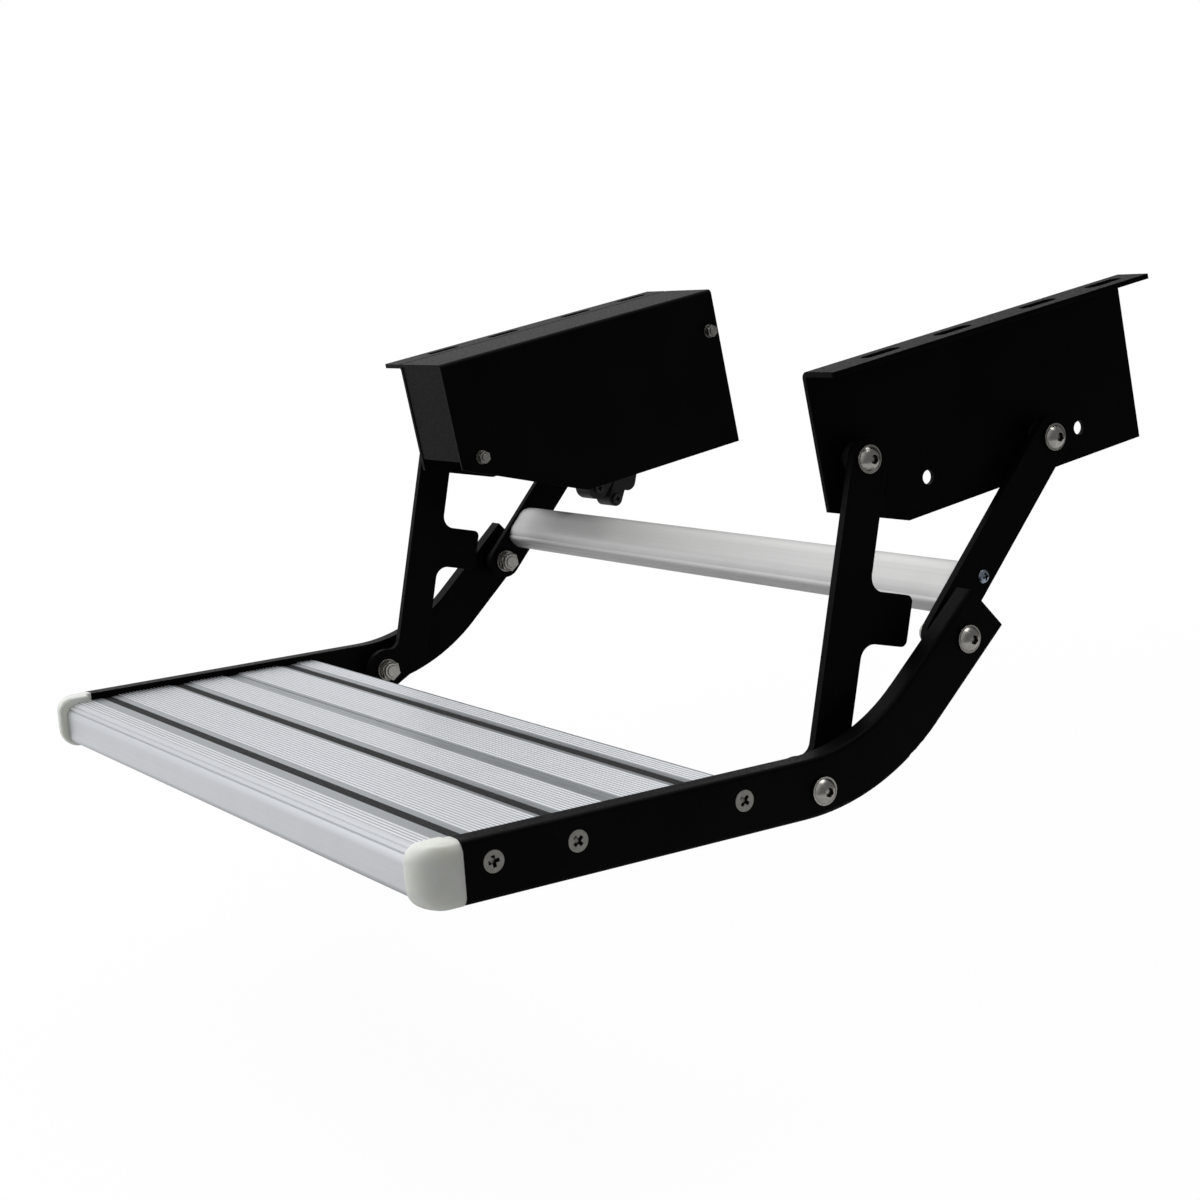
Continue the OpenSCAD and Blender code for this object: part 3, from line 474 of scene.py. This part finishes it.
def make_world():
    """White for the camera; the light it gives comes mostly from above and from the left."""
    world = bpy.data.worlds.new("studio")
    world.use_nodes = True
    n = Nodes(world.node_tree)
    toward = n.node("ShaderNodeVectorMath", operation="DOT_PRODUCT")
    n.link(n.node("ShaderNodeTexCoord").outputs["Generated"], toward.inputs[0])
    toward.inputs[1].default_value = BRIGHT_SIDE.normalized()
    strength = n.spread(
        toward.outputs["Value"], DIM_STRENGTH, BRIGHT_STRENGTH, DIM_FROM, BRIGHT_FROM, shape="SMOOTHSTEP"
    )
    room = n.node("ShaderNodeBackground")
    room.inputs["Color"].default_value = (*ROOM_COLOUR, 1)
    n.link(strength, room.inputs["Strength"])
    white = n.node("ShaderNodeBackground")
    white.inputs["Color"].default_value = (1, 1, 1, 1)
    seen = n.node("ShaderNodeLightPath").outputs["Is Camera Ray"]
    out = n.node("ShaderNodeOutputWorld")
    n.link(n.mix_shaders(seen, room.outputs[0], white.outputs[0]), out.inputs["Surface"])
    bpy.context.scene.world = world


def soft_box(name, place, size, power):
    """Rectangular lamp, aimed at the part."""
    data = bpy.data.lights.new(name, "AREA")
    data.shape = "RECTANGLE"
    data.size = size[0]
    data.size_y = size[1]
    data.energy = power
    lamp = bpy.data.objects.new(name, data)
    bpy.context.scene.collection.objects.link(lamp)
    lamp.location = place
    aim = LAMP_TARGET - place
    lamp.rotation_euler = aim.to_track_quat("-Z", "Y").to_euler()


def tread_point(x, y, z):
    """Point of the tread's frame, in millimetres, as a place in the part's frame, in metres."""
    dy = y - EYE_IN_TREAD[0]
    dz = z - EYE_IN_TREAD[1]
    back = REAR_EYE[0] + dy * TREAD_COS + dz * TREAD_SIN
    up = REAR_EYE[1] - dy * TREAD_SIN + dz * TREAD_COS
    return Vector((x, back, up)) * MM


def arc_points(centre, radii, start, end):
    """Points on a quarter of an ellipse, from one angle in degrees to another."""
    points = []
    for i in range(CAP_ARC_STEPS + 1):
        a = math.radians(start + (end - start) * i / CAP_ARC_STEPS)
        points.append((centre[0] + radii[0] * math.cos(a), centre[1] + radii[1] * math.sin(a)))
    return points


def inset(radius, reach):
    """How far a rounding of this radius has drawn in after so much of its reach."""
    return radius - math.sqrt(max(0.0, radius ** 2 - max(0.0, reach) ** 2))


def cap_section(x, back):
    """Side-view outline of the cap at one place along X: back, bottom, front, top."""
    lip = inset(CAP_LIP_R, CAP_INNER + CAP_LIP_R - x) * CAP_LIP_DEPTH
    front = CAP_FRONT + lip + inset(CAP_PLAN_R, x - (CAP_OUTER - CAP_PLAN_R))
    rim = lip + inset(CAP_RIM_R, x - (CAP_OUTER - CAP_RIM_R))
    low = CAP_BOTTOM + rim
    high = CAP_TOP - rim
    shrink = (high - low) / (CAP_TOP - CAP_BOTTOM)
    deep = min(1.0, (CAP_BACK - front) / CAP_BOTTOM_R * CAP_FLATTEN)
    bottom = (CAP_BOTTOM_R * deep, CAP_BOTTOM_R * shrink)
    top = (CAP_TOP_R * deep, CAP_TOP_R * shrink)
    points = [(back, low)]
    points += arc_points((front + bottom[0], low + bottom[1]), bottom, 270, 180)
    points += arc_points((front + top[0], high - top[1]), top, 180, 90)
    points.append((back, high))
    return points


def cap_stations():
    """Places of the cap's sections along X, close together on its roundings, each with its back."""
    lip = [CAP_LIP_R * (1 - math.cos(math.radians(a))) for a in range(0, 91, 15)]
    plan = [CAP_PLAN_R * math.sin(math.radians(a)) for a in range(5, 61, 5)]
    rim = [CAP_RIM_R * math.sin(math.radians(a)) for a in range(0, 91, 9)]
    along = [CAP_INNER + x for x in lip]
    along += [CAP_OUTER - CAP_PLAN_R + x for x in plan]
    along += [CAP_OUTER - CAP_RIM_R + x for x in rim]
    places = [(round(x, 4), CAP_STEP_BACK if x < CAP_STEP else CAP_BACK) for x in along]
    places += [(CAP_STEP, CAP_STEP_BACK), (CAP_STEP, CAP_BACK)]
    return sorted(set(places))


def end_cap(name, side):
    """Smooth moulded cap, stepped at the back where the nosing runs on to the arm."""
    work = bmesh.new()
    rings = []
    for x, back in cap_stations():
        rings.append([work.verts.new(tread_point(side * x, y, z)) for y, z in cap_section(x, back)])
    for one, two in zip(rings, rings[1:]):
        for i in range(len(one)):
            j = (i + 1) % len(one)
            work.faces.new((one[i], one[j], two[j], two[i]))
    work.faces.new(rings[0])
    work.faces.new(rings[-1])
    bmesh.ops.remove_doubles(work, verts=work.verts, dist=0.01 * MM)
    bmesh.ops.recalc_face_normals(work, faces=work.faces)
    data = bpy.data.meshes.new(name)
    work.to_mesh(data)
    work.free()
    for face in data.polygons:
        face.use_smooth = True
    data.set_sharp_from_angle(angle=math.radians(CAP_SHARP))
    piece = bpy.data.objects.new(name, data)
    bpy.context.scene.collection.objects.link(piece)
    return piece


def make_caps(materials):
    for side, node in ((1, "end_cap_right"), (-1, "end_cap_left")):
        piece = end_cap(node + "_moulding", side)
        piece.data.materials.append(materials["milky_cap"])
        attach(piece, "tread")
        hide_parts(node)


make_camera()
make_world()
soft_box("top_light", TOP_PLACE, TOP_SIZE, TOP_POWER)
soft_box("front_light", FRONT_PLACE, FRONT_SIZE, FRONT_POWER)
finishes = make_materials()
dress_nodes(finishes)
make_caps(finishes)
make_floor()

scene = bpy.context.scene
scene.view_settings.view_transform = "Standard"
